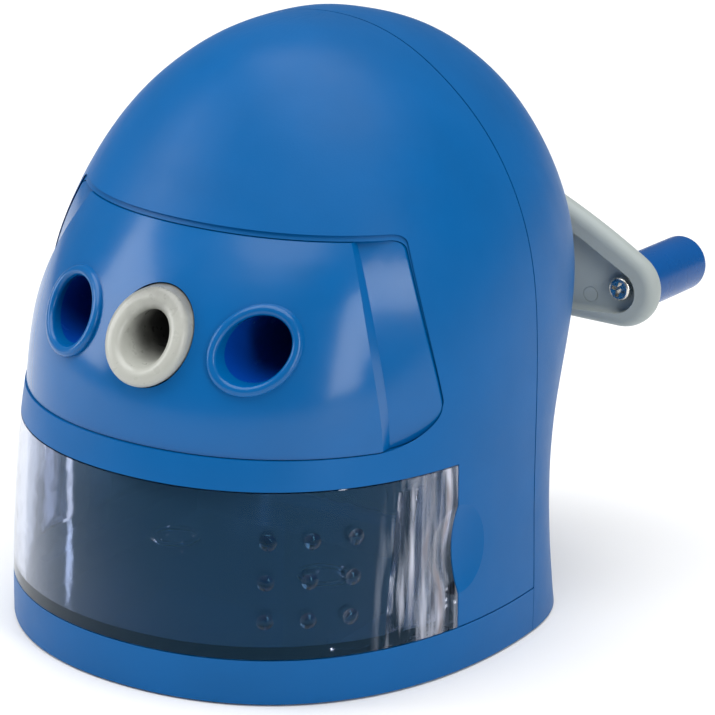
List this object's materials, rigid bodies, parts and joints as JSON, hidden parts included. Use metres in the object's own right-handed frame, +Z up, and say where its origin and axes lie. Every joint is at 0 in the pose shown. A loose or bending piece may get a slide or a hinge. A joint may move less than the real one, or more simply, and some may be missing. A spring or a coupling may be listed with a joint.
{
  "type": "crank pencil sharpener",
  "caption": "Dome-shaped tabletop pencil sharpener with a rear hand crank, a slanted helical cutter head, blind side wells and a clear shavings drawer.",
  "frame": {"origin": "on the underside of the rubber pad, in the upright plane where the front and rear housings meet, midway between the sides", "axes": "+Z up, a pencil goes in along +Y, the crank is on the +Y side, +X is the side the crank arm points to at rest"},
  "size_m": [0.106, 0.1504, 0.12],
  "materials": {
    "case_blue": "fine satin texture",
    "panel_blue": "glossy",
    "clear_smoke": "clear polystyrene",
    "light_grey": "satin",
    "grip_blue": "semi-gloss",
    "steel": "machined",
    "nickel": "nickel plated",
    "nylon": "natural nylon",
    "bronze": "sintered bronze",
    "frame_black": "moulded",
    "zinc": "zinc die casting",
    "rubber": "anti-slip rubber"
  },
  "bodies": {
    "housing": {"front_housing": "case_blue", "rear_housing": "case_blue", "base_tray": "case_blue", "foot_pad": "rubber", "front_panel": "panel_blue", "pencil_well_left": "panel_blue", "pencil_well_right": "panel_blue", "pencil_guide": "light_grey", "mechanism_frame": "frame_black", "front_bush": "bronze", "ring_gear": "nylon", "rear_bush": "nylon", "housing_screws": "nickel", "base_screws": "nickel", "frame_screws": "nickel"},
    "drawer": {"drawer": "clear_smoke"},
    "crank": {"crank_arm": "light_grey", "crank_shaft": "steel", "shaft_pin": "steel", "crank_washer": "nickel", "crank_screw": "nickel", "cutter_carrier": "zinc", "cutter_axle": "steel", "axle_clip": "nickel", "thrust_washer": "nylon", "hub_clip": "nickel"},
    "cutter": {"helical_cutter": "steel", "cutter_pinion": "steel"},
    "knob": {"knob": "grip_blue", "knob_screw": "nickel"}
  },
  "joints": [
    {"name": "crank_turn", "type": "hinge", "parent": "housing", "child": "crank", "pos_m": [0, 0.045, 0.0683], "axis": [0, 1, 0], "continuous": true},
    {"name": "cutter_spin", "type": "hinge", "parent": "crank", "child": "cutter", "pos_m": [0, 0.0116, 0.0735], "axis": [0, 0.9833, -0.1822], "continuous": true},
    {"name": "knob_spin", "type": "hinge", "parent": "crank", "child": "knob", "pos_m": [0.04446, 0.0519, 0.05861], "axis": [0.0596, 0.9981, -0.013], "continuous": true},
    {"name": "drawer_slide", "type": "slide", "parent": "housing", "child": "drawer", "axis": [0, -1, 0], "range_m": [0, 0.065]}
  ],
  "couplings": [
    {"joint": "cutter_spin", "follows": "crank_turn", "ratio": -2.0833}
  ]
}
